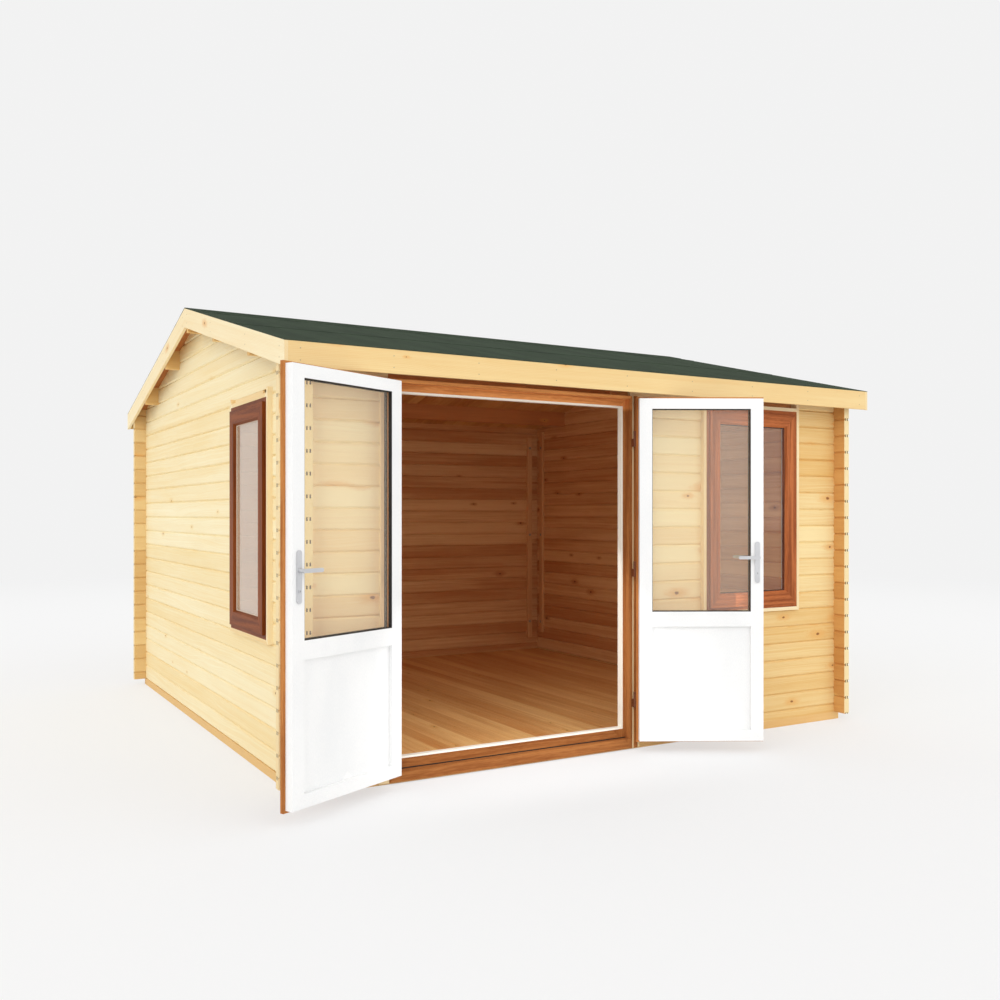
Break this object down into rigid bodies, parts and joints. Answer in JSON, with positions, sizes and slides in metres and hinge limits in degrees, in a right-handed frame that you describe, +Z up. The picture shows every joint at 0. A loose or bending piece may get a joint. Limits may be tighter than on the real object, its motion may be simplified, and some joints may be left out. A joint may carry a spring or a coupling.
{
  "type": "log cabin",
  "caption": "Square timber log cabin with notched interlocking log corners, a low felt-covered apex roof, glazed double doors that swing outwards and tall fixed windows.",
  "frame": {"origin": "on the ground at the middle of the square walled by the outer faces of the logs", "axes": "+Z up, +Y from the front wall with the doors towards the back wall, +X to the right for someone facing the doors"},
  "size_m": [4.1408, 4.4669, 2.7331],
  "materials": {
    "pine_log": "planed pale pine",
    "base_timber": "sawn pressure-treated softwood",
    "floor_boards": "planed pine boards",
    "roof_timber": "planed pine",
    "roof_felt": "green mineral roofing felt",
    "pine_trim": "planed pale pine",
    "oak_foil": "golden-brown wood-grain foil outside, white inside",
    "white_plastic": "smooth white inside, brown foil outside",
    "clear_glass": "clear sealed units",
    "hinge_brown": "brown painted",
    "satin_silver": "satin anodised"
  },
  "bodies": {
    "cabin": {"ground_bearers": "base_timber", "floor_joists": "base_timber", "floor_deck": "floor_boards", "front_wall_left": "pine_log", "front_wall_under_window": "pine_log", "front_wall_between": "pine_log", "front_wall_right": "pine_log", "front_wall_top": "pine_log", "left_wall_under_window": "pine_log", "left_wall_front": "pine_log", "left_wall_rear": "pine_log", "left_wall_top": "pine_log", "left_gable": "pine_log", "right_wall": "pine_log", "right_gable": "pine_log", "back_wall": "pine_log", "purlins": "roof_timber", "front_roof_deck": "roof_timber", "rear_roof_deck": "roof_timber", "front_roof_felt": "roof_felt", "rear_roof_felt": "roof_felt", "front_fascia": "pine_trim", "rear_fascia": "pine_trim", "left_barge_boards": "pine_trim", "right_barge_boards": "pine_trim", "door_frame": "oak_foil", "door_casing": "pine_trim", "hinge_brackets": "hinge_brown", "front_window_casing": "pine_trim", "front_window_frame": "oak_foil", "front_window_sash": "oak_foil", "front_window_glass": "clear_glass", "left_window_casing": "pine_trim", "left_window_frame": "oak_foil", "left_window_sash": "oak_foil", "left_window_glass": "clear_glass", "storm_battens": "pine_trim"},
    "left_leaf": {"left_leaf_sash": "white_plastic", "left_leaf_glass": "clear_glass", "left_leaf_panel": "white_plastic", "left_leaf_hinges": "hinge_brown", "left_leaf_plates": "satin_silver"},
    "right_leaf": {"right_leaf_sash": "white_plastic", "right_leaf_glass": "clear_glass", "right_leaf_panel": "white_plastic", "right_leaf_hinges": "hinge_brown", "right_leaf_plates": "satin_silver"},
    "left_lever": {"left_levers": "satin_silver"},
    "right_lever": {"right_levers": "satin_silver"}
  },
  "joints": [
    {"name": "left_door", "type": "hinge", "parent": "cabin", "child": "left_leaf", "pos_m": [-1.417, -1.962, 1.06], "axis": [0, 0, 1], "range_deg": [-14, 154]},
    {"name": "right_door", "type": "hinge", "parent": "cabin", "child": "right_leaf", "pos_m": [0.129, -1.962, 1.06], "axis": [0, 0, -1], "range_deg": [-17, 151]},
    {"name": "left_handle", "type": "hinge", "parent": "left_leaf", "child": "left_lever", "pos_m": [-2.06275, -2.31923, 1.14], "axis": [-0.4384, 0.8988, 0], "range_deg": [-40, 40], "stiffness_Nm_per_rad": 5},
    {"name": "right_handle", "type": "hinge", "parent": "right_leaf", "child": "right_lever", "pos_m": [0.72719, -2.33703, 1.14], "axis": [-0.4848, -0.8746, 0], "range_deg": [-40, 40], "stiffness_Nm_per_rad": 5}
  ]
}
